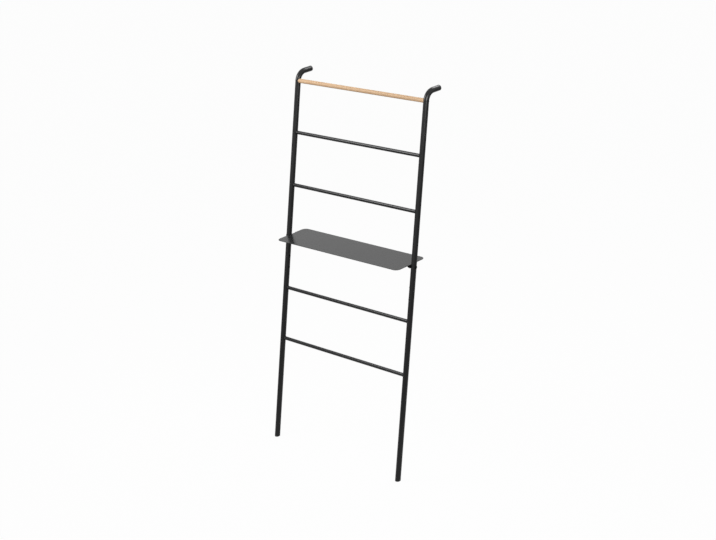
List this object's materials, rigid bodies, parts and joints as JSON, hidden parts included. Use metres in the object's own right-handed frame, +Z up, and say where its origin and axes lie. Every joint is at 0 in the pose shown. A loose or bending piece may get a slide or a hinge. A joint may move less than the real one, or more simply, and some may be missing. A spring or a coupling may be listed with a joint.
{
  "type": "towel ladder",
  "caption": "Leaning ladder of dark steel tube with hooked tops, a round wooden bar, rungs for towels and a flat sheet steel shelf with round corners.",
  "frame": {"origin": "on the floor, midway between the uprights and midway between the front of the feet and the wall", "axes": "+Z up, +Y towards the wall that the ladder leans on, +X to the right for someone who faces it"},
  "size_m": [0.7412, 0.4202, 1.5605],
  "materials": {
    "charcoal_coat": "satin powder coat",
    "oiled_wood": "oiled, fine straight grain",
    "black_elastomer": "matt moulded",
    "black_screws": "black oxide, satin",
    "zinc_steel": "zinc plated",
    "brass_sleeve": "turned"
  },
  "bodies": {
    "root": {"left_upper_upright": "charcoal_coat", "right_upper_upright": "charcoal_coat", "left_lower_upright": "charcoal_coat", "right_lower_upright": "charcoal_coat", "rung_1": "charcoal_coat", "rung_2": "charcoal_coat", "rung_3": "charcoal_coat", "rung_4": "charcoal_coat", "shelf_plate": "charcoal_coat", "wood_bar": "oiled_wood", "left_wall_cap": "black_elastomer", "right_wall_cap": "black_elastomer", "left_foot_cap": "black_elastomer", "right_foot_cap": "black_elastomer", "shelf_bolts": "black_screws", "joint_screws": "black_screws", "bar_screws": "black_screws", "left_joint_spigot": "zinc_steel", "right_joint_spigot": "zinc_steel", "joint_nuts": "zinc_steel", "shelf_nuts": "zinc_steel", "bar_inserts": "brass_sleeve"}
  },
  "joints": []
}
